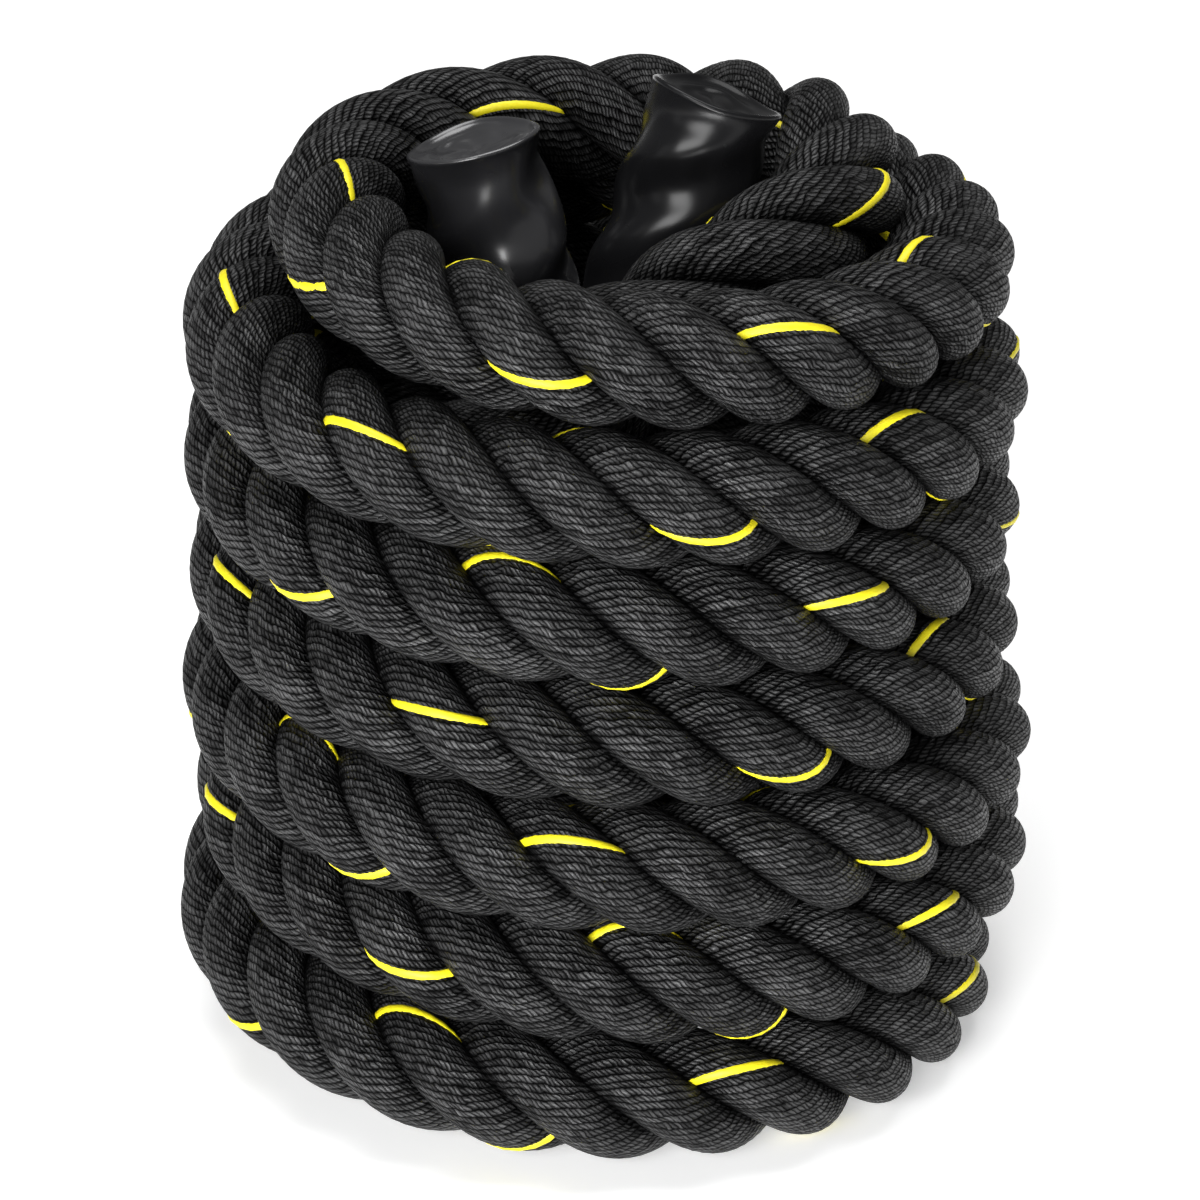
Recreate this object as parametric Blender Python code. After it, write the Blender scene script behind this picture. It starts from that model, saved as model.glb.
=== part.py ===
"""Battle rope, wound into a standing coil with both sleeved ends rising inside it.

Metres, +Z up. The origin is at the middle of the coil's base, on the surface that it stands on.
The rope is one length of thick three-strand rope. It is modelled in three lengths that meet face
to face: the wound coil and the two ends that go down into its bore and come up again. Each end is
whipped with tape, and over the tape sits a shrunk plastic sleeve with a flared lip.
"""

import math

import bmesh
import bpy
import numpy as np
from mathutils.bvhtree import BVHTree

# Rope
ROPE_DIAMETER = 0.050
END_DIAMETER = 0.037  # where the sleeve has drawn the strands together
NECK_LENGTH = 0.045  # along which the rope narrows from one diameter to the other
JOINT_GAP = 0.0003  # between two faces or skins that touch

# Coil
BORE_SHARE = 2.18  # of the rope's diameter, from the coil's axis to its bore, where both ends stand and turn
NEST_SHARE = 0.03  # of the rope's diameter, by which the strands of neighbouring turns nest
COIL_RADIUS = ROPE_DIAMETER * (BORE_SHARE + 0.5)  # to the middle of the rope, in its plain turns
TURN_PITCH = ROPE_DIAMETER * (1 - NEST_SHARE)  # one turn's rise
FIRST_TURN = -0.083
LAST_TURN = 8.0
TOUCHDOWN_TURN = 7.25  # from here to its end, the rope lies on the floor
POINTS_PER_TURN = 24
COIL_BEVEL_RESOLUTION = 1  # six sides, two of them level, with the rope's diameter from corner to corner
FLAT_SHARE = 0.1  # of the rope's diameter, by which its round is cut away where the coil stands
# Turn, and how far the rope's middle lies outside COIL_RADIUS there, as a share of its diameter.
# Turns are counted from the first one whose front shows. A whole number is at the front, and the
# rope goes on from there to the right, the back and the left.
LAY_SHARES = (
    (-0.15, -1.41),
    (0.00, -1.36),
    (0.12, -1.22),
    (0.25, -0.91),
    (0.50, -0.80),
    (0.75, -0.70),
    (1.00, -0.26),
    (1.25, -0.09),
    (1.75, 0.00),
    (3.50, 0.00),
    (4.50, 0.04),
    (5.25, 0.15),
    (5.75, 0.01),
    (6.25, 0.15),
    (6.75, 0.18),
    (7.25, -0.12),
    (7.50, -0.70),
    (7.75, -1.03),
    (8.00, -1.72),
)
# Turn, and how far the rope has sunk there below the even rise, as a share of its diameter.
SINK_SHARES = (
    (-0.15, 2.81),
    (0.00, 1.44),
    (0.12, 0.77),
    (0.25, 0.42),
    (0.50, 0.32),
    (0.75, 0.00),
    (1.00, 0.00),
    (1.25, 0.00),
    (7.25, 0.00),
    (7.50, 0.00),
    (7.75, 0.00),
    (8.00, -0.08),
)

# Ends: points that the rope's middle passes, from the coil to the tip. Across, a share of the room
# that the bore leaves it, and up, a share of one turn's rise. Each end is straight between its last
# two points, where the sleeve holds it.
UPPER_END_SHARES = (
    (-0.893, -0.250, 3.97),
    (-0.920, -0.080, 3.20),
    (-0.880, 0.040, 2.48),
    (-0.700, 0.140, 1.82),
    (-0.298, 0.372, 1.49),
    (0.124, 0.614, 1.84),
    (0.280, 0.710, 2.50),
    (0.210, 0.660, 3.15),
    (0.020, 0.530, 3.78),
    (-0.190, 0.410, 4.32),
    (-0.35, 0.340, 4.93),
    (-0.56, 0.090, 7.16),
)
LOWER_END_SHARES = (
    (0.865, -0.330, 0.86),
    (0.985, -0.060, 1.34),
    (0.885, 0.100, 2.10),
    (0.670, 0.085, 2.80),
    (0.420, -0.020, 3.48),
    (0.215, -0.120, 4.15),
    (0.085, -0.175, 4.78),
    (0.045, -0.180, 5.44),
    (0.465, -0.030, 7.60),
)
END_POINT_SPACING = 0.055
SQUARE_SHARE = 0.2  # of the rope's diameter, for which each end runs straight from the coil
END_BEVEL_RESOLUTION = 3

# Whipping: the tape that binds the strands under each sleeve
TAPE_THICKNESS = 0.0010
TAPE_LENGTH = 0.050
TAPE_SETBACK = 0.004  # from the rope's cut end

# Sleeves: plastic, shrunk on, from the foot to past the rope's cut end
SLEEVE_WALL = 0.0022
SLEEVE_OVERHANG = 0.010  # of the lip, past the rope's cut end
SLEEVE_FACETS = 36
SLEEVE_RINGS = 12
LIP_WIDTH = 0.0035
LIP_FLARE = 0.0022
LIP_FLARE_LENGTH = 0.012
FILM_THICKNESS = 0.0016  # of the skin that closes the sleeve over the rope's end
STRANDS = 3
STRAND_LAY = 0.120  # one strand's full turn round the rope
STRAND_BULGE = 0.0024  # of each strand, on the sleeve that is shrunk over it

SHADE_ANGLE = math.radians(40)
DENSE_STEPS = 4000
FACET_STEPS = 4  # along and across each facet, where the coil's gap to itself is measured


def cubic(knots, values, slopes, places):
    """Values at the given places, on smooth cubic runs between knots."""
    below = np.clip(np.searchsorted(knots, places, side="right") - 1, 0, len(knots) - 2)
    width = (knots[below + 1] - knots[below])[:, None]
    t = (places - knots[below])[:, None] / width
    return (
        (2 * t**3 - 3 * t**2 + 1) * values[below]
        + (t**3 - 2 * t**2 + t) * width * slopes[below]
        + (3 * t**2 - 2 * t**3) * values[below + 1]
        + (t**3 - t**2) * width * slopes[below + 1]
    )


def read_shares(table, turns):
    """The second column of a table of turns and shares, at the given turns."""
    rows = np.array(table)
    knots, values = rows[:, 0], rows[:, 1:]
    return cubic(knots, values, np.gradient(values, knots, axis=0), turns)[:, 0]


def unit(vector):
    return vector / np.linalg.norm(vector)


def smooth_line(points, leaving, arriving):
    """Close-set points on one smooth curve through the given ones, with its directions at both ends."""
    chords = np.linalg.norm(np.diff(points, axis=0), axis=1)
    knots = np.concatenate([[0], np.cumsum(np.sqrt(chords))])
    slopes = np.gradient(points, knots, axis=0)
    slopes[0] = leaving * np.linalg.norm(slopes[0])
    slopes[-1] = arriving * np.linalg.norm(slopes[-1])
    return cubic(knots, points, slopes, np.linspace(0, knots[-1], DENSE_STEPS))


def lengths_along(line):
    """How far along the line each of its points lies."""
    return np.concatenate([[0], np.cumsum(np.linalg.norm(np.diff(line, axis=0), axis=1))])


def at_lengths(line, lengths):
    """The places at the given lengths along a line."""
    along = lengths_along(line)
    return np.column_stack([np.interp(lengths, along, line[:, k]) for k in range(line.shape[1])])


def coil_points(turns):
    """The wound rope's middle at the given turns, about the coil's own axis."""
    radius = COIL_RADIUS + ROPE_DIAMETER * read_shares(LAY_SHARES, turns)
    rise = TURN_PITCH * np.maximum(TOUCHDOWN_TURN - turns, 0)
    sink = ROPE_DIAMETER * read_shares(SINK_SHARES, turns)
    angle = 2 * math.pi * turns - math.pi / 2
    height = ROPE_DIAMETER / 2 - FLAT_SHARE * ROPE_DIAMETER + rise - sink
    return np.column_stack([radius * np.cos(angle), radius * np.sin(angle), height])


def coil_line():
    """The wound rope's middle, straight for its last diameter either way, and where its own middle lies."""
    steps = round((LAST_TURN - FIRST_TURN) * POINTS_PER_TURN)
    wound = coil_points(np.linspace(FIRST_TURN, LAST_TURN, steps + 1))
    start = wound[0] + ROPE_DIAMETER * unit(wound[0] - wound[1])
    finish = wound[-1] + ROPE_DIAMETER * unit(wound[-1] - wound[-2])
    line = np.vstack([start, wound, finish])
    middle = (line.min(axis=0) + line.max(axis=0)) / 2
    middle[2] = 0
    return line - middle, middle


def end_line(face, behind, middle, shares):
    """One end's smooth line from the coil's end face to the rope's tip, and how far along it the sleeve starts."""
    across = COIL_RADIUS - ROPE_DIAMETER
    route = np.array(shares) * (across, across, TURN_PITCH) - middle
    heading = unit(face - behind)
    foot, tip = route[-2:]
    lead = face + heading * SQUARE_SHARE * ROPE_DIAMETER
    curve = smooth_line(np.vstack([lead, route[:-1]]), heading, unit(tip - foot))
    line = np.vstack([face + heading * JOINT_GAP, curve, tip])
    return line, lengths_along(line)[-2]


def frames_at(line, lengths):
    """Places at lengths along a line, with two directions at each that are square to it and don't twist."""
    tangents = np.gradient(line, axis=0)
    tangents /= np.linalg.norm(tangents, axis=1)[:, None]
    side = np.cross(tangents[-1], (0, 1, 0))
    sides = np.zeros_like(line)
    for k in reversed(range(len(line))):
        side = unit(side - tangents[k] * np.dot(side, tangents[k]))
        sides[k] = side
    ups = np.cross(tangents, sides)
    along = lengths_along(line)
    nearest = [np.argmin(np.abs(along - length)) for length in lengths]
    return at_lengths(line, lengths), sides[nearest], ups[nearest]


def make_material(name, colour, roughness, metallic=0.0):
    """A Principled material of one colour."""
    material = bpy.data.materials.new(name)
    material.use_nodes = True
    shader = material.node_tree.nodes["Principled BSDF"]
    shader.inputs["Base Color"].default_value = (*colour, 1)
    shader.inputs["Roughness"].default_value = roughness
    shader.inputs["Metallic"].default_value = metallic
    return material


def link(name, data, material):
    """A new object that shows the data in the scene."""
    data.materials.append(material)
    thing = bpy.data.objects.new(name, data)
    bpy.context.scene.collection.objects.link(thing)
    return thing


def tube_curve(name, points, radii, bevel_resolution):
    """A curve with a round bevel and closed ends, with its own radius at each point."""
    curve = bpy.data.curves.new(name, "CURVE")
    curve.dimensions = "3D"
    curve.twist_mode = "Z_UP"
    curve.bevel_depth = max(radii)
    curve.bevel_resolution = bevel_resolution
    curve.use_fill_caps = True
    spline = curve.splines.new("POLY")
    spline.points.add(len(points) - 1)
    for spot, place, radius in zip(spline.points, points, radii):
        spot.co = (*place, 1)
        spot.radius = radius / curve.bevel_depth
    return curve


def make_coil(material, line):
    """The wound rope: one unbroken tube, cut flat where it stands on the floor."""
    radii = [ROPE_DIAMETER / 2] * len(line)
    curve = tube_curve("rope_coil", line, radii, COIL_BEVEL_RESOLUTION)
    thing = link("rope_coil", curve, material)
    mesh = bpy.data.meshes.new_from_object(thing.evaluated_get(bpy.context.evaluated_depsgraph_get()))
    bpy.data.objects.remove(thing)
    gap = least_gap(mesh, len(line))
    shape = bmesh.new()
    shape.from_mesh(mesh)
    bmesh.ops.remove_doubles(shape, verts=shape.verts, dist=JOINT_GAP / 10)
    parts = shape.verts[:] + shape.edges[:] + shape.faces[:]
    cut = bmesh.ops.bisect_plane(shape, geom=parts, plane_co=(0, 0, 0), plane_no=(0, 0, -1), clear_outer=True)
    rim = [part for part in cut["geom_cut"] if isinstance(part, bmesh.types.BMEdge)]
    bmesh.ops.holes_fill(shape, edges=rim)
    bmesh.ops.recalc_face_normals(shape, faces=shape.faces)
    shape.to_mesh(mesh)
    shape.free()
    mesh.materials.clear()
    link("rope_coil", mesh, material)
    return gap


def least_gap(mesh, ring_count):
    """The least distance from points all over the tube to facets that are over half a turn away along it."""
    corners = [corner.co for corner in mesh.vertices]
    facets = [tuple(facet.vertices) for facet in mesh.polygons if len(facet.vertices) == 4]
    sides = len(facets) // (ring_count - 1)
    rings = [min(facet) // sides for facet in facets]
    tree = BVHTree.FromPolygons(corners, facets)
    shares = [step / FACET_STEPS for step in range(FACET_STEPS)]
    shortest = ROPE_DIAMETER
    for facet, ring in zip(facets, rings):
        a, b, c, d = (corners[k] for k in facet)
        for u in shares:
            for v in shares:
                spot = a.lerp(b, u).lerp(d.lerp(c, u), v)
                for _, _, other, distance in tree.find_nearest_range(spot, shortest):
                    if abs(rings[other] - ring) > POINTS_PER_TURN / 2:
                        shortest = min(shortest, distance)
    return shortest


def make_end(name, material, line, foot):
    """One end of the rope, from the coil to its tip, drawn thinner where the sleeve grips it."""
    spans = round(foot / END_POINT_SPACING)
    tip = lengths_along(line)[-1]
    square = SQUARE_SHARE * ROPE_DIAMETER
    between = np.linspace(0, foot, spans + 1)[1:-1]
    lengths = [0, square - JOINT_GAP, *between, foot - square, foot, foot + NECK_LENGTH, tip]
    drawn = np.clip((np.array(lengths) - foot) / NECK_LENGTH, 0, 1)
    radii = ROPE_DIAMETER / 2 - drawn * (ROPE_DIAMETER - END_DIAMETER) / 2
    link(name, tube_curve(name, at_lengths(line, lengths), radii, END_BEVEL_RESOLUTION), material)


def make_body(name, material, rings, closed_round=False):
    """A closed body through rings of points, with flat ends, or joined to itself all the way round."""
    shape = bmesh.new()
    corners = [[shape.verts.new(spot) for spot in ring] for ring in rings]
    following = corners[1:] + corners[:1] if closed_round else corners[1:]
    for near, far in zip(corners, following):
        for k in range(len(near)):
            shape.faces.new((near[k - 1], near[k], far[k], far[k - 1]))
    if not closed_round:
        shape.faces.new(corners[0])
        shape.faces.new(corners[-1])
    bmesh.ops.recalc_face_normals(shape, faces=shape.faces)
    mesh = bpy.data.meshes.new(name)
    shape.to_mesh(mesh)
    shape.free()
    mesh.shade_smooth()
    mesh.set_sharp_from_angle(angle=SHADE_ANGLE)
    return link(name, mesh, material)


def ring_points(centre, side, up, radius):
    """A ring of points round a centre, at a radius that may change round it."""
    angles = [2 * math.pi * k / SLEEVE_FACETS for k in range(SLEEVE_FACETS)]
    return [centre + radius(angle) * (math.cos(angle) * side + math.sin(angle) * up) for angle in angles]


def make_whipping(name, material, line):
    """A band of tape, wound flat round the drawn-in strands."""
    inner = END_DIAMETER / 2 + JOINT_GAP
    outer = inner + TAPE_THICKNESS
    last = lengths_along(line)[-1] - TAPE_SETBACK
    first = last - TAPE_LENGTH
    centres, sides, ups = frames_at(line, [first, last, last, first])
    rings = [
        ring_points(centre, side, up, lambda angle, radius=radius: radius)
        for centre, side, up, radius in zip(centres, sides, ups, (outer, outer, inner, inner))
    ]
    make_body(name, material, rings, closed_round=True)


def sleeve_skin(length, foot, rim):
    """The sleeve's outer radius at a length along the rope, as a function of the angle round it."""
    loose = ROPE_DIAMETER / 2 + JOINT_GAP + SLEEVE_WALL
    tight = END_DIAMETER / 2 + 2 * JOINT_GAP + TAPE_THICKNESS + SLEEVE_WALL
    drawn = min((length - foot) / NECK_LENGTH, 1)
    flare = LIP_FLARE * max(1 - (rim - length) / LIP_FLARE_LENGTH, 0) ** 2
    turned = 2 * math.pi * (length - foot) / STRAND_LAY

    def radius(angle):
        bulge = STRAND_BULGE * drawn * (1 + math.cos(STRANDS * (angle - turned))) / 2
        return loose + (tight - loose) * drawn + bulge + flare

    return radius


def make_sleeve(name, material, line, foot):
    """A shrunk sleeve: open at its foot, and closed by a skin that lies sunk inside its flared lip."""
    tip = lengths_along(line)[-1]
    film = tip + JOINT_GAP
    rim = tip + SLEEVE_OVERHANG
    line = np.vstack([line, line[-1] + unit(line[-1] - line[-2]) * SLEEVE_OVERHANG])
    loose = ROPE_DIAMETER / 2 + JOINT_GAP
    tight = END_DIAMETER / 2 + 2 * JOINT_GAP + TAPE_THICKNESS
    lip = sleeve_skin(rim, foot, rim)
    throat = sleeve_skin(rim - LIP_FLARE_LENGTH, foot, rim)
    outer = [*np.linspace(foot, rim - LIP_FLARE_LENGTH, SLEEVE_RINGS), rim - LIP_FLARE_LENGTH / 2, rim]
    profile = [
        (film, lambda angle: tight),
        (foot + NECK_LENGTH, lambda angle: tight),
        (foot, lambda angle: loose),
        *((length, sleeve_skin(length, foot, rim)) for length in outer),
        (rim, lambda angle: lip(angle) - LIP_WIDTH),
        (film + FILM_THICKNESS, lambda angle: throat(angle) - LIP_WIDTH),
    ]
    centres, sides, ups = frames_at(line, [length for length, _ in profile])
    rings = [
        ring_points(centre, side, up, radius)
        for centre, side, up, (_, radius) in zip(centres, sides, ups, profile)
    ]
    make_body(name, material, rings)


def main():
    for thing in list(bpy.data.objects):
        bpy.data.objects.remove(thing)
    rope = make_material("black_rope", (0.020, 0.020, 0.021), 0.75)
    sleeve = make_material("black_sleeve", (0.008, 0.008, 0.009), 0.30)
    tape = make_material("black_tape", (0.015, 0.015, 0.016), 0.55)
    line, middle = coil_line()
    gap = make_coil(rope, line)
    upper = end_line(line[0], line[1], middle, UPPER_END_SHARES)
    lower = end_line(line[-1], line[-2], middle, LOWER_END_SHARES)
    total = lengths_along(line)[-1]
    for word, (route, foot) in (("upper", upper), ("lower", lower)):
        make_end(f"rope_inner_end_{word}", rope, route, foot)
        make_whipping(f"whipping_{word}", tape, route)
        make_sleeve(f"end_sleeve_{word}", sleeve, route, foot)
        total += lengths_along(route)[-1]
    print(f"rope length {total:.3f} m, least gap of the coil to itself {1000 * gap:.2f} mm")


main()
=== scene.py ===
"""Battle rope: a coiled three-strand rope with a tracer yarn and two shrunk sleeves, over the CAD frame."""
import math

import bpy
import numpy as np
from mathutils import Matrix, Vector


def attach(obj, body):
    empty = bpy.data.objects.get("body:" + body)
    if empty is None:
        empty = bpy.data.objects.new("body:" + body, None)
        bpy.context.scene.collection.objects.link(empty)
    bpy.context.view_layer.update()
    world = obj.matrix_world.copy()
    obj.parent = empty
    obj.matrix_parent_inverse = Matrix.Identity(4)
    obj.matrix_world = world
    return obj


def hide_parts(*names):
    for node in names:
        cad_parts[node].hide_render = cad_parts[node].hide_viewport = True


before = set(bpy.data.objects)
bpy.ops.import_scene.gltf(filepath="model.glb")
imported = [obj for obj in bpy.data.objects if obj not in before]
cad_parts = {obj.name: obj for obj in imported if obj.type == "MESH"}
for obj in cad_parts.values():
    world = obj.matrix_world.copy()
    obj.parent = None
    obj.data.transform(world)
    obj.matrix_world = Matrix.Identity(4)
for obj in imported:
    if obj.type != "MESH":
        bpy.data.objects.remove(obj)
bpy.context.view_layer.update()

# ---------------------------------------------------------------- camera
camera_data = bpy.data.cameras.new("camera")
camera = bpy.data.objects.new("camera", camera_data)
bpy.context.scene.collection.objects.link(camera)
camera.location = (-0.0006, -1.9084, 1.0946)
camera.rotation_euler = (math.radians(64.10), 0, 0)
camera_data.lens = 164.64
camera_data.sensor_width = 36
camera_data.clip_start, camera_data.clip_end = 0.1, 30
bpy.context.scene.camera = camera

# ---------------------------------------------------------------- the rope's route, as the CAD source has it
ROPE_DIAMETER = 0.050
END_DIAMETER = 0.037     # where the sleeve has drawn the strands together
NECK_LENGTH = 0.045      # along which the rope narrows from one diameter to the other
BORE_SHARE = 2.18        # of the rope's diameter, from the coil's axis to its bore
NEST_SHARE = 0.03        # of the rope's diameter, by which neighbouring turns nest
COIL_RADIUS = ROPE_DIAMETER * (BORE_SHARE + 0.5)
TURN_PITCH = ROPE_DIAMETER * (1 - NEST_SHARE)
FIRST_TURN, LAST_TURN = -0.083, 8.0
TOUCHDOWN_TURN = 7.25    # from here to its end, the rope lies on the floor
CAD_POINTS_PER_TURN = 24
POINTS_PER_TURN = 8 * CAD_POINTS_PER_TURN
FLAT_SHARE = 0.1         # of the rope's diameter, by which it stands lower than its round would
SQUARE_SHARE = 0.2       # of the rope's diameter, for which each end runs straight from the coil
# Turn, and how far the rope's middle lies outside COIL_RADIUS there, as a share of its diameter.
# Whole turns are at the front of the coil, and the rope goes on from there to the right.
LAY_SHARES = (
    (-0.15, -1.41), (0.00, -1.36), (0.12, -1.22), (0.25, -0.91), (0.50, -0.80), (0.75, -0.70), (1.00, -0.26),
    (1.25, -0.09), (1.75, 0.00), (3.50, 0.00), (4.50, 0.04), (5.25, 0.15), (5.75, 0.01), (6.25, 0.15),
    (6.75, 0.18), (7.25, -0.12), (7.50, -0.70), (7.75, -1.03), (8.00, -1.72),
)
# Turn, and how far the rope has sunk there below the even rise, as a share of its diameter.
SINK_SHARES = (
    (-0.15, 2.81), (0.00, 1.44), (0.12, 0.77), (0.25, 0.42), (0.50, 0.32), (0.75, 0), (1.00, 0), (1.25, 0),
    (7.25, 0), (7.50, 0), (7.75, 0), (8.00, -0.08),
)
# Points that the rope's middle passes from the coil to each tip: shares of the bore's room across, and of a
# turn's rise upward. Each end is straight between its last two points, in its sleeve.
UPPER_END_SHARES = (
    (-0.893, -0.250, 3.97), (-0.920, -0.080, 3.20), (-0.880, 0.040, 2.48), (-0.700, 0.140, 1.82),
    (-0.298, 0.372, 1.49), (0.124, 0.614, 1.84), (0.280, 0.710, 2.50), (0.210, 0.660, 3.15),
    (0.020, 0.530, 3.78), (-0.190, 0.410, 4.32), (-0.35, 0.340, 4.93), (-0.56, 0.090, 7.16),
)
LOWER_END_SHARES = (
    (0.865, -0.330, 0.86), (0.985, -0.060, 1.34), (0.885, 0.100, 2.10), (0.670, 0.085, 2.80),
    (0.420, -0.020, 3.48), (0.215, -0.120, 4.15), (0.085, -0.175, 4.78), (0.045, -0.180, 5.44),
    (0.465, -0.030, 7.60),
)
DENSE_STEPS = 4000       # points on the smooth line of one end
ROUNDING = 0.012         # length over which all of the route is rounded
JOINT_ROUNDING = 0.090   # the same where the lower end leaves the coil
FOOT_ROUNDING = 0.030    # and where it enters its sleeve
FOOT_LEAD = 0.010        # the middle of that place lies this far before the sleeve's foot


def unit(v):
    return v / np.linalg.norm(v)


def units(rows):
    return rows / np.linalg.norm(rows, axis=1)[:, None]


def eased(value):
    """0 up to 0 and 1 from 1 on, with a soft passage between them."""
    t = np.clip(value, 0, 1)
    return t * t * (3 - 2 * t)


def cubic(knots, values, slopes, places):
    """The smooth curve through values at the knots, read at the places."""
    below = np.clip(np.searchsorted(knots, places, side="right") - 1, 0, len(knots) - 2)
    width = (knots[below + 1] - knots[below])[:, None]
    t = (places - knots[below])[:, None] / width
    return ((2 * t**3 - 3 * t**2 + 1) * values[below] + (t**3 - 2 * t**2 + t) * width * slopes[below]
            + (3 * t**2 - 2 * t**3) * values[below + 1] + (t**3 - t**2) * width * slopes[below + 1])


def read_shares(table, turns):
    rows = np.array(table)
    knots, values = rows[:, 0], rows[:, 1:]
    return cubic(knots, values, np.gradient(values, knots, axis=0), turns)[:, 0]


def smooth_line(points, leaving, arriving):
    chords = np.linalg.norm(np.diff(points, axis=0), axis=1)
    knots = np.concatenate([[0], np.cumsum(np.sqrt(chords))])
    slopes = np.gradient(points, knots, axis=0)
    slopes[0] = leaving * np.linalg.norm(slopes[0])
    slopes[-1] = arriving * np.linalg.norm(slopes[-1])
    return cubic(knots, points, slopes, np.linspace(0, knots[-1], DENSE_STEPS))


def lengths_along(line):
    return np.concatenate([[0], np.cumsum(np.linalg.norm(np.diff(line, axis=0), axis=1))])


def at_lengths(line, places):
    run = lengths_along(line)
    return np.column_stack([np.interp(places, run, line[:, k]) for k in range(3)])


def coil_points(turns):
    radius = COIL_RADIUS + ROPE_DIAMETER * read_shares(LAY_SHARES, turns)
    rise = TURN_PITCH * np.maximum(TOUCHDOWN_TURN - turns, 0)
    sink = ROPE_DIAMETER * read_shares(SINK_SHARES, turns)
    angle = 2 * math.pi * turns - math.pi / 2
    height = ROPE_DIAMETER / 2 - FLAT_SHARE * ROPE_DIAMETER + rise - sink
    return np.column_stack([radius * np.cos(angle), radius * np.sin(angle), height])


def wound_line(points_per_turn):
    """The coil's turns, with one point more beyond each end."""
    steps = round((LAST_TURN - FIRST_TURN) * points_per_turn)
    wound = coil_points(np.linspace(FIRST_TURN, LAST_TURN, steps + 1))
    start = wound[0] + ROPE_DIAMETER * unit(wound[0] - wound[1])
    finish = wound[-1] + ROPE_DIAMETER * unit(wound[-1] - wound[-2])
    return np.vstack([start, wound, finish])


def end_line(face, behind, middle, shares):
    """The route from a face of the coil to its tip, and the length at the sleeve's foot."""
    across = COIL_RADIUS - ROPE_DIAMETER
    route = np.array(shares) * (across, across, TURN_PITCH) - middle
    heading = unit(face - behind)
    foot, tip = route[-2:]
    lead = face + heading * SQUARE_SHARE * ROPE_DIAMETER
    curve = smooth_line(np.vstack([lead, route[:-1]]), heading, unit(tip - foot))
    line = np.vstack([face, curve, tip])
    return line, lengths_along(line)[-2]


def rounded(points, reach):
    """The points, each a weighted mean of those within reach steps of it. The first and last one stay."""
    kernel = np.hanning(2 * reach + 3)[1:-1]
    kernel /= kernel.sum()
    before = 2 * points[0] - points[reach:0:-1]
    beyond = 2 * points[-1] - points[-2:-reach - 2:-1]
    padded = np.vstack([before, points, beyond])
    soft = np.column_stack([np.convolve(padded[:, k], kernel, mode="valid") for k in range(3)])
    soft[0], soft[-1] = points[0], points[-1]
    return soft


def rope_route(step):
    """The rope's middle line in even steps from upper to lower tip, and its length in each sleeve."""
    cad_line = wound_line(CAD_POINTS_PER_TURN)
    middle = (cad_line.min(axis=0) + cad_line.max(axis=0)) / 2
    middle[2] = 0
    coil = wound_line(POINTS_PER_TURN) - middle
    upper, upper_foot = end_line(coil[0], coil[1], middle, UPPER_END_SHARES)
    lower, lower_foot = end_line(coil[-1], coil[-2], middle, LOWER_END_SHARES)
    lower_length = lengths_along(lower)[-1]
    in_upper, in_lower = lengths_along(upper)[-1] - upper_foot, lower_length - lower_foot
    whole = np.vstack([upper[::-1], coil[1:-1], lower])
    total = lengths_along(whole)[-1]
    places = np.linspace(0, total, 1 + round(total / step))
    soft = rounded(at_lengths(whole, places), round(ROUNDING / step))
    joint, foot = total - lower_length, total - in_lower - FOOT_LEAD
    for place, reach in ((joint, JOINT_ROUNDING), (foot, FOOT_ROUNDING)):
        near = np.exp(-((places - place) / reach) ** 2)[:, None]
        soft += near * (rounded(soft, round(reach / step)) - soft)
    return soft, in_upper, in_lower


def frames_along(line):
    """Twist-free frames: tangents, sides and ups."""
    tangent = units(np.gradient(line, axis=0))
    side = np.empty_like(line)
    side[0] = unit(np.cross(tangent[0], (0, 1, 0)))
    for i in range(1, len(line)):
        side[i] = unit(side[i - 1] - tangent[i] * (side[i - 1] @ tangent[i]))
    return tangent, side, np.cross(tangent, side)


# ---------------------------------------------------------------- the rope's three strands and their yarns
STEP = 0.0028            # ring spacing along the rope
END_RINGS = 12           # rings at each tip that are cut square
EARLY_NECK = 0.012       # the rope starts to narrow this far before its sleeve
LAY_LENGTH = 0.1015      # length of rope in which a strand goes once round
STRANDS = 3
STRAND_CENTRE_SHARE = 0.263
STRAND_RADIUS_SHARE = 0.237
STRAND_COLUMNS = 30
YARNS = 20               # yarns in sight round each strand
BEAD_LENGTH = 0.0012353  # length of one bead of the plied yarns along its strand
COUNT_SPAN = 1000        # the yarns' numbers start again after this many, to stay exact in the UV map
STRAND_SHIFT = (40, 0.37)  # yarns and beads from strand to strand, so that no two look alike
BAKE_ROWS = 19           # rows in which the UV map for baking lays out the strands
BAKE_MARGIN = 0.02       # of a row, left free on each side
# Length from the front of a turn, strand turns beyond those of the lay there, and turns of the tracer.
BESIDE_FRONT = ((-0.2, 0.05, -5.2), (-0.1, 0, -2.56), (0.1, 0, 2.5), (0.2, -0.02, 5.05))
BESIDE_FROM = 1.07       # the rows beside the fronts begin here
# At the front of each turn: length along the rope, turns of the strand that has the tracer, lay length, and
# turns of the tracer round its strand.
FRONTS = (
    (1.255, 0.62, 0.0965, 0.17),
    (2.050, 8.72, 0.1025, 22.17),
    (2.905, 17.10, 0.1060, 44.95),
    (3.750, 25.40, 0.1060, 67.57),
    (4.600, 33.76, 0.1050, 90.17),
    (5.450, 42.21, 0.1045, 113.14),
    (6.325, 50.79, 0.1110, 135.79),
)
# Elsewhere: length, strand turns and tracer turns. Those at 1.65 and 2.48 m, at the back of the coil, let the
# strands of neighbouring turns interlock.
FURTHER = (
    (0.0, -10.90, -29.60), (0.736, -4.01, -12.03), (0.830, -3.24, -9.80), (0.931, -2.40, -8.17),
    (1.065, -1.28, -5.30), (1.650, 4.78, 11.02), (2.480, 12.92, 33.55), (7.464, 62.0, 166.0),
)

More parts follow.
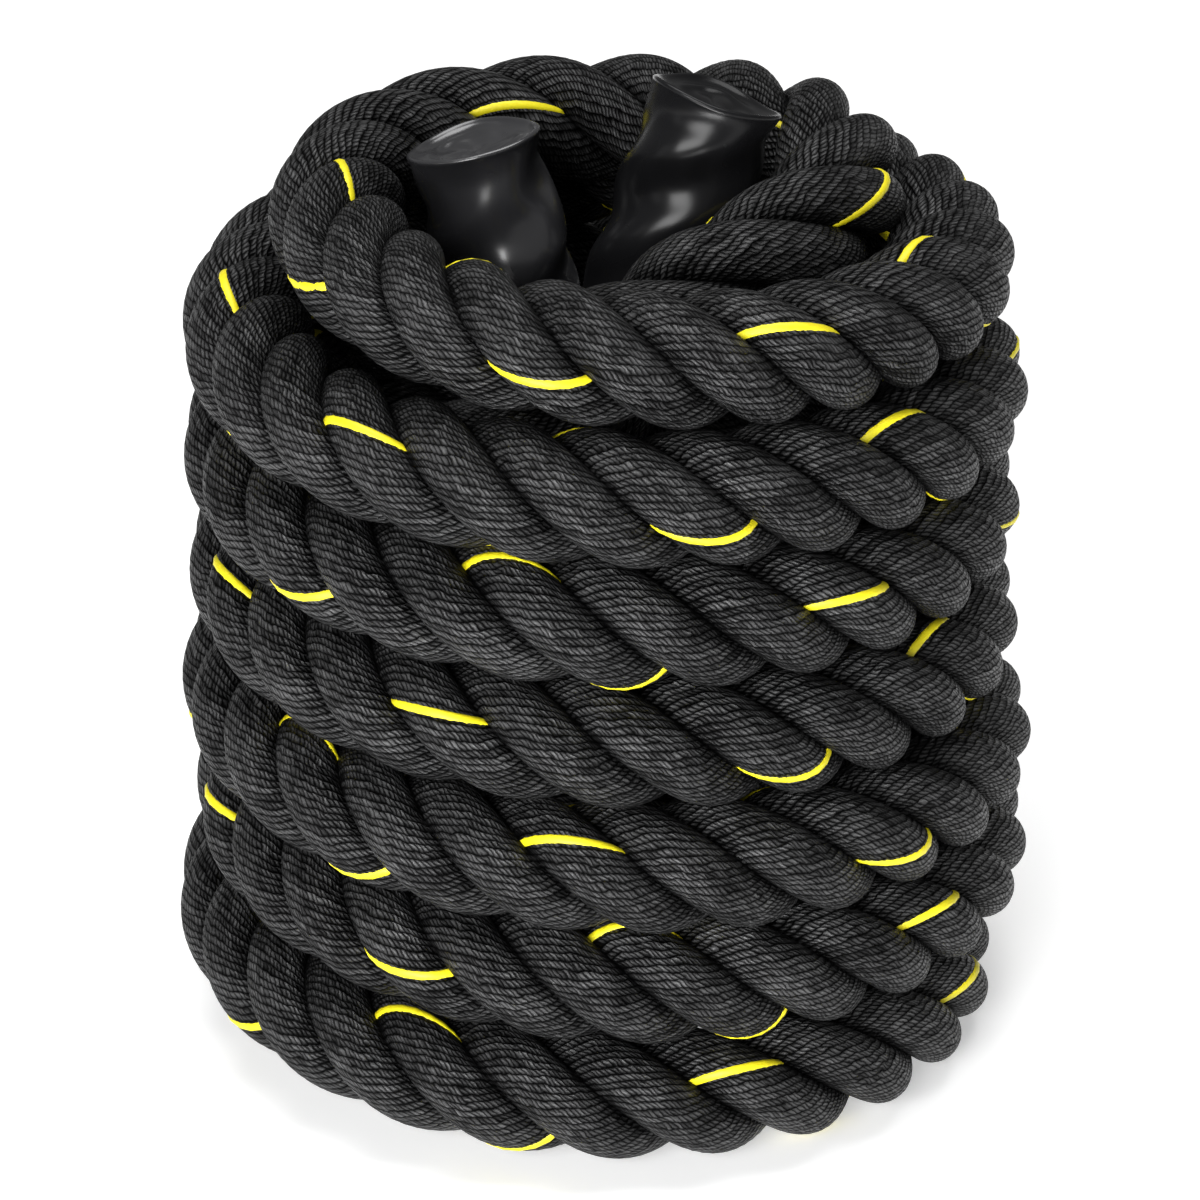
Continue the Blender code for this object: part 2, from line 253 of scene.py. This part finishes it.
# At each ring: the rope's middle, the length run, and the frame.
line, upper_sleeve, lower_sleeve = rope_route(STEP)
run = lengths_along(line)
length = run[-1]
tangent, side, up = frames_along(line)


def grid_faces(rings, columns, start):
    """Quads of an open-ended tube whose points run ring by ring."""
    i = np.arange(rings - 1)[:, None] * columns
    j = np.arange(columns)[None, :]
    k = (j + 1) % columns
    return (np.stack([i + j, i + columns + j, i + columns + k, i + k], axis=-1) + start).reshape(-1, 4)


def build_mesh(name, points, quads, end_faces):
    """A smooth object of quads and of the faces that close its ends."""
    mesh = bpy.data.meshes.new(name)
    loops = np.concatenate([quads.ravel()] + [np.array(f) for f in end_faces]).astype(np.int32)
    sizes = np.concatenate([np.full(len(quads), 4)] + [[len(f)] for f in end_faces]).astype(np.int32)
    starts = np.concatenate([[0], np.cumsum(sizes)[:-1]]).astype(np.int32)
    mesh.vertices.add(len(points))
    mesh.vertices.foreach_set("co", points.astype(np.float32).ravel())
    mesh.loops.add(len(loops))
    mesh.loops.foreach_set("vertex_index", loops)
    mesh.polygons.add(len(sizes))
    mesh.polygons.foreach_set("loop_start", starts)
    mesh.polygons.foreach_set("loop_total", sizes)
    mesh.update(calc_edges=True)
    mesh.validate()
    mesh.polygons.foreach_set("use_smooth", np.ones(len(mesh.polygons), dtype=bool))
    ob = bpy.data.objects.new(name, mesh)
    bpy.context.scene.collection.objects.link(ob)
    return ob


def twists():
    """Turns of the tracer's strand round the rope, and of the yarns round their strand, at each ring."""
    rows = list(FURTHER)
    for place, strand_turns, lay, tracer_turns in FRONTS:
        for away, more, turns in BESIDE_FRONT:
            if place + away > BESIDE_FROM:
                rows.append((place + away, strand_turns + away / lay + more, tracer_turns + turns))
    rows = np.array(sorted(rows))
    places = rows[:, 0]
    slopes = np.gradient(rows[:, 1:], places, axis=0)
    return cubic(places, rows[:, 1:], slopes, run).T


def slimness():
    """The rope's width at each ring as a share of its full width: both ends are drawn in by their sleeves."""
    from_upper = (upper_sleeve + EARLY_NECK - run) / NECK_LENGTH
    from_lower = (run - (length - lower_sleeve - EARLY_NECK)) / NECK_LENGTH
    return 1 + (END_DIAMETER / ROPE_DIAMETER - 1) * eased(np.maximum(from_upper, from_lower))


lay_turns, yarn_turns = twists()
slim = slimness()
strand_radius = ROPE_DIAMETER * STRAND_RADIUS_SHARE * slim


def strand_middle(strand):
    """A strand's middle line, its heading, and the directions out of the rope and over to the side."""
    angle = 2 * math.pi * (lay_turns + strand / STRANDS)
    out = side * np.cos(angle)[:, None] + up * np.sin(angle)[:, None]
    middle = line + out * (ROPE_DIAMETER * STRAND_CENTRE_SHARE * slim)[:, None]
    along = units(np.gradient(middle, axis=0))
    out = units(out - along * np.sum(out * along, axis=1)[:, None])
    return middle, along, out, np.cross(along, out)


def trim(points, columns):
    """What would dip under the floor lies flat on it, and both ends of the rope are cut square."""
    rings = np.array(points).reshape(-1, len(line), columns, 3)
    rings[..., 2] = np.maximum(rings[..., 2], 0.0)
    upper = (slice(0, END_RINGS), line[0], -tangent[0])
    lower = (slice(-END_RINGS, None), line[-1], tangent[-1])
    for end, tip, outward in (upper, lower):
        beyond = np.maximum((rings[:, end] - tip) @ outward, 0)
        rings[:, end] -= beyond[..., None] * outward
    return rings.reshape(-1, 3)


def strand_maps():
    """UV maps of the strands' quads: yarns across and beads along, and the layout for baking."""
    rings = len(line) - 1
    i, j = np.meshgrid(np.arange(rings), np.arange(STRAND_COLUMNS), indexing="ij")
    corner_i = np.stack([i, i + 1, i + 1, i], axis=-1)
    corner_j = np.stack([j, j, j + 1, j + 1], axis=-1)
    across = YARNS * (corner_j / STRAND_COLUMNS + yarn_turns[corner_i])
    base = np.floor(across.min(axis=-1) / COUNT_SPAN)[..., None] * COUNT_SPAN
    strand_per_rope = math.hypot(1, 2 * math.pi * STRAND_CENTRE_SHARE * ROPE_DIAMETER / LAY_LENGTH)
    yarn_uv = np.stack([across - base, run[corner_i] * strand_per_rope / BEAD_LENGTH], axis=-1)
    per_row = math.ceil(STRANDS * rings / BAKE_ROWS)
    yarn, bake = [], []
    for strand in range(STRANDS):
        cell = strand * rings + i
        row, place = cell // per_row, cell % per_row
        x = (place[..., None] + (corner_i - i[..., None])) / per_row
        y = (row[..., None] + BAKE_MARGIN + (1 - 2 * BAKE_MARGIN) * corner_j / STRAND_COLUMNS) / BAKE_ROWS
        bake.append(np.stack([x, y], axis=-1).reshape(-1, 2))
        yarn.append((yarn_uv + strand * np.array(STRAND_SHIFT)).reshape(-1, 2))
    return np.vstack(yarn), np.vstack(bake)


def make_strands():
    count, around = len(line), STRAND_COLUMNS
    turn = 2 * math.pi * np.arange(around) / around
    points, quads, ends = [], [], []
    for strand in range(STRANDS):
        middle, _, out, over = strand_middle(strand)
        points.append(middle[:, None, :]
                      + out[:, None, :] * (np.cos(turn) * strand_radius[:, None])[:, :, None]
                      + over[:, None, :] * (np.sin(turn) * strand_radius[:, None])[:, :, None])
        start = strand * count * around
        finish = start + count * around
        quads.append(grid_faces(count, around, start))
        ends += [list(range(start, start + around)), list(range(finish - 1, finish - around - 1, -1))]
    points = np.array(points)
    from_middle = np.linalg.norm(points - line[None, :, None, :], axis=-1)
    ob = build_mesh("rope", trim(points, around), np.vstack(quads), ends)
    # The end faces come last, and all their corners share one point of each map.
    for name, uv, rest in zip(("yarn", "OFBake"), strand_maps(), (0, 0.999)):
        tail = np.full((len(ob.data.loops) - len(uv), 2), rest)
        layer = ob.data.uv_layers.new(name=name)
        layer.data.foreach_set("uv", np.vstack([uv, tail]).astype(np.float32).ravel())
    # Each point's distance from the rope's middle, as a share of its radius, for the painted shade in the
    # grooves between the strands.
    groove_shade = ob.data.attributes.new(name="groove_shade", type="FLOAT", domain="POINT")
    share = from_middle / (slim[None, :, None] * ROPE_DIAMETER / 2)
    groove_shade.data.foreach_set("value", share.astype(np.float32).ravel())
    return ob


TRACER_STRAND = 0
TRACER_WIDTH = 0.0036
TRACER_SINK = 0.0004     # how deep the tracer's middle lies in the strand
TRACER_STAND = 0.0005    # how far the tracer stands over the strand
TRACER_FACETS = 10


def make_tracer():
    count, facets = len(line), TRACER_FACETS
    middle, _, out, over = strand_middle(TRACER_STRAND)
    angle = -2 * math.pi * yarn_turns
    radial = out * np.cos(angle)[:, None] + over * np.sin(angle)[:, None]
    spine = middle + radial * (strand_radius - TRACER_SINK)[:, None]
    across = units(np.cross(units(np.gradient(spine, axis=0)), radial))
    theta = 2 * math.pi * np.arange(facets) / facets
    ring = (spine[:, None, :] + across[:, None, :] * (np.cos(theta) * TRACER_WIDTH / 2)[None, :, None]
            + radial[:, None, :] * (np.sin(theta) * (TRACER_SINK + TRACER_STAND))[None, :, None])
    ends = [list(range(facets)), list(range(count * facets - 1, (count - 1) * facets - 1, -1))]
    return build_mesh("rope_tracer", trim(ring, facets), grid_faces(count, facets, 0), ends)


rope = make_strands()
tracer = make_tracer()

# ---------------------------------------------------------------- sleeves
SLEEVE_WALL = 0.0022
SLEEVE_OVERHANG = 0.010  # how far the sleeve goes on beyond the rope's tip
SLEEVE_GAP = 0.0003
SLEEVE_COLUMNS = 144
SIDE_RINGS = 88
FILM_RINGS = 28
FOOT_EDGE = 0.0006       # radius of the foot's edge
FOOT_INSIDE = 0.004      # how far the foot's inner face goes up
END_ROOM = 0.001         # more room round the drawn-in strands
STRAND_BULGE = 0.0032
LOBE_FADE = 0.03         # length over which the strands' bulges fade into the lip
NOTCH_DIP = 0.6          # how far the rim dips at a notch, as a share of its depth
LIP_FLARE = 0.0024
LIP_FLARE_LENGTH = 0.013
LIP = ((-0.0007, 0.0), (-0.0001, 0.0005), (0.0002, 0.0011), (0.0, 0.0018), (-0.0005, 0.0024))  # rise, draw-in
FOLD_TURN = 0.4          # the upper sleeve's front fold stands this far to the right of its front, in radians
FOLD_TOP = 0.008         # the fold begins this far below the rim
FOLD_RISE = 0.035        # length in which it comes to its full height
FILM_EDGE = 0.0025       # the film in the mouth begins this far inside the rim
FILM_START = 0.0006      # and this far below it
FILM_DEPTH = 0.0052      # how far its middle is sunk
FILM_FOLD = 0.0012       # height of the ring that the film's edge leaves in the mouth
FILM_FOLD_AT, FILM_FOLD_WIDTH = 0.76, 0.08  # where it is and how wide, as shares of the mouth's radius
FILM_LOBES, FILM_RIPPLES = 0.00225, 0.00125


def make_sleeve(name, tip, inward, covered, phase, rise_front, rise_right, notch, swell):
    """A shell shrunk over the rope's end: open foot, neck, soft lobes, flared lip, and a film in the mouth.

    The phase turns the lobes. The rim rises to the front and to the right, and it has three notches. Swell is
    the height of the fold on the front. Angles go from the left over the front to the right.
    """
    axis = -inward
    reach = covered + SLEEVE_OVERHANG
    left = unit(np.cross(axis, (0, 1, 0)))
    front = np.cross(axis, left)
    foot = tip + inward * covered
    theta = 2 * math.pi * np.arange(SLEEVE_COLUMNS) / SLEEVE_COLUMNS
    dent = notch * (1 - np.cos(3 * (theta + math.pi / 2))) / 2
    end = reach + rise_front * np.sin(theta) - rise_right * np.cos(theta) - NOTCH_DIP * dent
    wide = ROPE_DIAMETER / 2 + SLEEVE_GAP + SLEEVE_WALL
    narrow = END_DIAMETER / 2 + END_ROOM + SLEEVE_GAP * 2 + SLEEVE_WALL

    def outer(place):
        neck = eased(place / NECK_LENGTH)
        near_end = np.clip((place - reach + LOBE_FADE) / LOBE_FADE, 0, 1) ** 2
        lobes = (1 + np.cos(3 * (theta - 2 * math.pi * place / LAY_LENGTH + phase))) / 2
        bulge = STRAND_BULGE * (neck * (1 - near_end) * lobes + near_end / 2)
        flare = LIP_FLARE * max(0, (place - reach + LIP_FLARE_LENGTH) / LIP_FLARE_LENGTH) ** 2
        low = eased((reach - place - FOLD_TOP) / FOLD_RISE)
        fold = swell * low * np.maximum(np.sin(theta - FOLD_TURN), 0) ** 2
        return wide + (narrow - wide) * neck + bulge - near_end * dent + flare + fold

    rings = [(FOOT_INSIDE, outer(FOOT_INSIDE) - SLEEVE_WALL), (0.0, outer(0) - SLEEVE_WALL),
             (0.0, outer(0) - SLEEVE_WALL * 0.3), (FOOT_EDGE, outer(0))]
    for s in np.linspace(0, 1, SIDE_RINGS + 2)[1:-1]:
        even = FOOT_EDGE + (reach - 2 * FOOT_EDGE) * s
        rings.append((FOOT_EDGE + (end - 2 * FOOT_EDGE) * s, outer(even)))
    rim = outer(reach)
    rings += [(end + rise, rim - drawn) for rise, drawn in LIP]
    for s in np.linspace(0.985, 0.05, FILM_RINGS):  # from the rim to the middle
        level = reach + (end - reach) * s
        waves = FILM_LOBES * np.cos(3 * theta + 5 * s + phase) + FILM_RIPPLES * np.sin(7 * theta - 6 * s)
        ring_fold = FILM_FOLD * math.exp(-((s - FILM_FOLD_AT) / FILM_FOLD_WIDTH) ** 2)
        ring_fold = ring_fold * (0.6 + 0.4 * np.cos(2 * theta + phase))
        sunk = FILM_START + FILM_DEPTH * (1 - s * s) ** 0.8
        rings.append((level - sunk + ring_fold + waves * s * (1 - s), (rim - FILM_EDGE) * s))
    points = []
    for place, radius in rings:
        place = np.broadcast_to(place, theta.shape)
        points.append(foot + axis * place[:, None] + left * (np.cos(theta) * radius)[:, None]
                      + front * (np.sin(theta) * radius)[:, None])
    quads = grid_faces(len(rings), SLEEVE_COLUMNS, 0)[:, ::-1]
    last = (len(rings) - 1) * SLEEVE_COLUMNS
    middle_face = list(range(last, last + SLEEVE_COLUMNS))
    return build_mesh(name, np.array(points).reshape(-1, 3), quads, [middle_face])


sleeve_upper = make_sleeve("sleeve_upper", line[0], tangent[0], upper_sleeve,
                           phase=0.6, rise_front=0.0075, rise_right=0.0018, notch=0.0016, swell=0.0135)
sleeve_lower = make_sleeve("sleeve_lower", line[-1], -tangent[-1], lower_sleeve,
                           phase=3.0, rise_front=0.0012, rise_right=0.0, notch=0.0030, swell=0.0)

# ---------------------------------------------------------------- materials
FIBRE_HEIGHT = 0.12      # fibres on a yarn, as a share of its height
BEAD_HEIGHT = 0.65       # share of a yarn's height that comes and goes with its beads
BEAD_SLANT = 2.5         # beads by which one side of a yarn lies behind the other
YARN_SWAY = 1.3          # yarns by which they wander to and fro


class Surface:
    """A material with its shader, and the nodes that several materials use."""

    def __init__(self, name):
        self.material = bpy.data.materials.new(name)
        self.material.use_nodes = True
        self.nodes = self.material.node_tree.nodes
        self.links = self.material.node_tree.links
        self.nodes.clear()
        out = self.nodes.new("ShaderNodeOutputMaterial")
        self.shader = self.nodes.new("ShaderNodeBsdfPrincipled")
        self.links.new(self.shader.outputs[0], out.inputs["Surface"])

    def set(self, socket, value):
        self.shader.inputs[socket].default_value = value

    def maths(self, operation, *values):
        """The result for one or two values, each a number or a socket."""
        node = self.nodes.new("ShaderNodeMath")
        node.operation = operation
        for socket, value in zip(node.inputs, values):
            if isinstance(value, (int, float)):
                socket.default_value = value
            else:
                self.links.new(value, socket)
        return node.outputs[0]

    def texture(self, kind, **values):
        """The value of a texture that lies in the object's own space."""
        coords = self.nodes.new("ShaderNodeTexCoord")
        node = self.nodes.new(kind)
        for socket, value in values.items():
            node.inputs[socket].default_value = value
        self.links.new(coords.outputs["Object"], node.inputs["Vector"])
        return node.outputs["Fac"]

    def random(self, number):
        """A random share of 1 for each number."""
        node = self.nodes.new("ShaderNodeTexWhiteNoise")
        node.noise_dimensions = "1D"
        self.links.new(number, node.inputs["W"])
        return node.outputs["Value"]

    def bump(self, height, strength, distance):
        node = self.nodes.new("ShaderNodeBump")
        node.inputs["Strength"].default_value = strength
        node.inputs["Distance"].default_value = distance
        self.links.new(height, node.inputs["Height"])
        self.links.new(node.outputs[0], self.shader.inputs["Normal"])

    def colours(self, share, dark, light, start=0.0):
        """Dark up to the start, and from there over to light at a share of 1."""
        ramp = self.nodes.new("ShaderNodeValToRGB")
        ramp.color_ramp.elements[0].position = start
        ramp.color_ramp.elements[0].color = (*dark, 1)
        ramp.color_ramp.elements[1].color = (*light, 1)
        self.links.new(share, ramp.inputs["Fac"])
        self.links.new(ramp.outputs["Color"], self.shader.inputs["Base Color"])

    def soft_range(self, value, start, finish, low, high):
        node = self.nodes.new("ShaderNodeMapRange")
        node.interpolation_type = "SMOOTHSTEP"
        for socket, number in (("From Min", start), ("From Max", finish), ("To Min", low), ("To Max", high)):
            node.inputs[socket].default_value = number
        self.links.new(value, node.inputs["Value"])
        return node.outputs[0]


def rope_material():
    """Plied yarns laid round each strand: rounded rows with their seams painted dark as shade, each row a
    chain of slanted beads.
    """
    yarn = Surface("black_yarn")
    do = yarn.maths

    def dome(share, fall):
        """A round back over a share of 0 to 1: 1 in the middle, and the root of 1 - fall at both edges."""
        edge = do("ABSOLUTE", do("SUBTRACT", do("MULTIPLY", share, 2), 1))
        return do("SQRT", do("SUBTRACT", 1.0, do("MULTIPLY", edge, do("MULTIPLY", edge, fall))))

    def between(low, extra, value):
        return do("ADD", low, do("MULTIPLY", value, extra))

    uv = yarn.nodes.new("ShaderNodeUVMap")
    uv.uv_map = "yarn"
    parts = yarn.nodes.new("ShaderNodeSeparateXYZ")
    yarn.links.new(uv.outputs[0], parts.inputs[0])
    wander = yarn.texture("ShaderNodeTexNoise", Scale=150, Detail=3)
    sway = do("MULTIPLY", do("SUBTRACT", wander, 0.5), YARN_SWAY)
    across = do("ADD", parts.outputs[0], sway)
    inside = do("FRACT", across)
    number = do("FLOOR", across)
    along = do("ADD", do("ADD", parts.outputs[1], yarn.random(number)), do("MULTIPLY", sway, 0.8))
    along = do("SUBTRACT", along, do("MULTIPLY", inside, BEAD_SLANT))
    ridge = dome(inside, 0.999)
    bead = dome(do("FRACT", along), 0.92)

    height = do("MULTIPLY", ridge, between(1 - BEAD_HEIGHT, BEAD_HEIGHT, bead))
    fibre = yarn.texture("ShaderNodeTexNoise", Scale=1500, Detail=2)
    yarn.bump(do("ADD", height, do("MULTIPLY", fibre, FIBRE_HEIGHT)), 1.0, 0.0011)

    # Colour: painted shade in the seams between yarns and between beads, random tone of patches, of each yarn
    # and of each bead, and painted shade in the grooves between the strands.
    patches = yarn.texture("ShaderNodeTexNoise", Scale=45, Detail=3)
    tone_and_shade = do("MULTIPLY", do("MULTIPLY", ridge, bead), between(0.5, 0.65, patches))
    tone_and_shade = do("MULTIPLY", tone_and_shade, between(0.62, 0.35, yarn.random(do("ADD", number, 0.5))))
    single = yarn.random(do("ADD", do("FLOOR", along), do("MULTIPLY", number, 0.31)))
    tone_and_shade = do("MULTIPLY", tone_and_shade, between(0.75, 0.5, single))
    # Painted shade: the nearer a point lies to the rope's middle, deep in the grooves between the strands,
    # the darker it is.
    groove_shade = yarn.nodes.new("ShaderNodeAttribute")
    groove_shade.attribute_name = "groove_shade"
    tone_and_shade = do("MULTIPLY", tone_and_shade, yarn.soft_range(groove_shade.outputs["Fac"], 0.5, 0.92, 0.15, 1.0))
    yarn.colours(tone_and_shade, (0.0008, 0.0008, 0.0009), (0.068, 0.068, 0.069), start=0.3)
    yarn.links.new(between(0.60, -0.2, tone_and_shade), yarn.shader.inputs["Roughness"])
    yarn.links.new(do("MULTIPLY", tone_and_shade, 0.5), yarn.shader.inputs["Specular IOR Level"])
    return yarn.material


def tracer_material():
    yarn = Surface("yellow_yarn")
    fibre = yarn.texture("ShaderNodeTexNoise", Scale=700, Detail=3)
    yarn.colours(fibre, (0.80, 0.66, 0.004), (1.0, 0.90, 0.02))
    yarn.bump(fibre, 0.3, 0.0002)
    yarn.set("Roughness", 0.5)
    return yarn.material


def film_material(name, dark, light, gloss, wrinkle):
    film = Surface(name)
    wave = film.texture("ShaderNodeTexNoise", Scale=38, Detail=1)
    film.bump(wave, 0.8, wrinkle)
    film.colours(wave, (dark, dark, dark * 1.1), (light, light, light * 1.1))
    film.set("Specular IOR Level", gloss)
    rough = film.maths("ADD", film.maths("MULTIPLY", wave, 0.12), 0.20)
    film.links.new(rough, film.shader.inputs["Roughness"])
    return film.material


def tape_material():
    tape = Surface("whipping_tape")
    weave = tape.texture("ShaderNodeTexWave", Scale=400)
    tape.colours(weave, (0.02, 0.02, 0.02), (0.05, 0.05, 0.05))
    tape.set("Roughness", 0.7)
    return tape.material


def floor_material():
    """A matt pale floor that glows a little more from 0.6 m from the rope's foot on, and fully from 2.5 m."""
    pale = Surface("pale_floor")
    pale.set("Base Color", (0.9, 0.9, 0.9, 1))
    pale.set("Roughness", 0.9)
    pale.set("Specular IOR Level", 0.0)
    pale.set("Emission Color", (1, 1, 1, 1))
    coords = pale.nodes.new("ShaderNodeTexCoord")
    away = pale.nodes.new("ShaderNodeVectorMath")
    away.operation = "LENGTH"
    pale.links.new(coords.outputs["Object"], away.inputs[0])
    glow = pale.soft_range(away.outputs["Value"], 0.6, 2.5, 0.42, 0.85)
    pale.links.new(glow, pale.shader.inputs["Emission Strength"])
    return pale.material


def assign(ob, material):
    ob.data.materials.clear()
    ob.data.materials.append(material)


tape = tape_material()
assign(rope, rope_material())
assign(tracer, tracer_material())
# Both sleeves are of one black film. Its colour is painted lighter on the upper sleeve, which gets little
# light, and darker on the lower one, which gets direct light.
assign(sleeve_upper, film_material("shrunk_film_upper_painted_lighter", dark=0.013, light=0.030, gloss=1.0, wrinkle=0.006))
assign(sleeve_lower, film_material("shrunk_film_lower_painted_darker", dark=0.004, light=0.010, gloss=0.20, wrinkle=0.003))

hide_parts("rope_coil", "rope_inner_end_upper", "rope_inner_end_lower")
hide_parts("end_sleeve_upper")
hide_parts("end_sleeve_lower")
for piece, name in ((rope, "rope"), (tracer, "rope"), (sleeve_upper, "sleeve"), (sleeve_lower, "sleeve")):
    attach(piece, "root")
whippings = [ob for name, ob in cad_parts.items() if name.startswith("whipping")]
for ob in whippings:
    for place in ob.material_slots:
        place.material = tape

# ---------------------------------------------------------------- floor, light and background
floor_mesh = bpy.data.meshes.new("floor")
floor_mesh.from_pydata([(-6, -6, 0), (6, -6, 0), (6, 8, 0), (-6, 8, 0)], [], [(0, 1, 2, 3)])
floor = bpy.data.objects.new("floor", floor_mesh)
bpy.context.scene.collection.objects.link(floor)
assign(floor, floor_material())


def area_light(name, place, target, power, width, height):
    data = bpy.data.lights.new(name, "AREA")
    data.shape = "RECTANGLE"
    data.size, data.size_y, data.energy = width, height, power
    ob = bpy.data.objects.new(name, data)
    ob.location = place
    ob.rotation_mode = "QUATERNION"
    ob.rotation_quaternion = (Vector(target) - Vector(place)).to_track_quat("-Z", "Y")
    bpy.context.scene.collection.objects.link(ob)


area_light("key", (-0.95, -2.85, 1.5), (0, 0, 0.15), power=76, width=1.4, height=1.2)
area_light("low front", (-0.15, -0.95, 0.12), (0, 0, 0.22), power=7, width=0.45, height=0.18)
area_light("overhead", (0, 0.1, 2.4), (0, 0, 0.2), power=46, width=2.0, height=1.6)
area_light("left", (-2.4, -1.6, 0.9), (0, 0, 0.2), power=3, width=0.8, height=1.6)

# The camera sees plain white. Everything else gets a soft light, more of it in reflections.
SKY_LIGHT = 0.06
SKY_GLOSS = 0.14
world = bpy.data.worlds.new("studio")
bpy.context.scene.world = world
world.use_nodes = True
tree = world.node_tree
tree.nodes.clear()
out = tree.nodes.new("ShaderNodeOutputWorld")
mix = tree.nodes.new("ShaderNodeMixShader")
soft = tree.nodes.new("ShaderNodeBackground")
white = tree.nodes.new("ShaderNodeBackground")
path = tree.nodes.new("ShaderNodeLightPath")
glossy = tree.nodes.new("ShaderNodeMath")
glossy.operation = "MULTIPLY_ADD"
glossy.inputs[1].default_value = SKY_GLOSS
glossy.inputs[2].default_value = SKY_LIGHT
for background in (soft, white):
    background.inputs["Color"].default_value = (1, 1, 1, 1)
white.inputs["Strength"].default_value = 1.0
tree.links.new(path.outputs["Is Glossy Ray"], glossy.inputs[0])
tree.links.new(glossy.outputs[0], soft.inputs["Strength"])
tree.links.new(path.outputs["Is Camera Ray"], mix.inputs["Fac"])
tree.links.new(soft.outputs[0], mix.inputs[1])
tree.links.new(white.outputs[0], mix.inputs[2])
tree.links.new(mix.outputs[0], out.inputs["Surface"])

bpy.context.scene.view_settings.view_transform = "Standard"

bpy.context.view_layer.update()
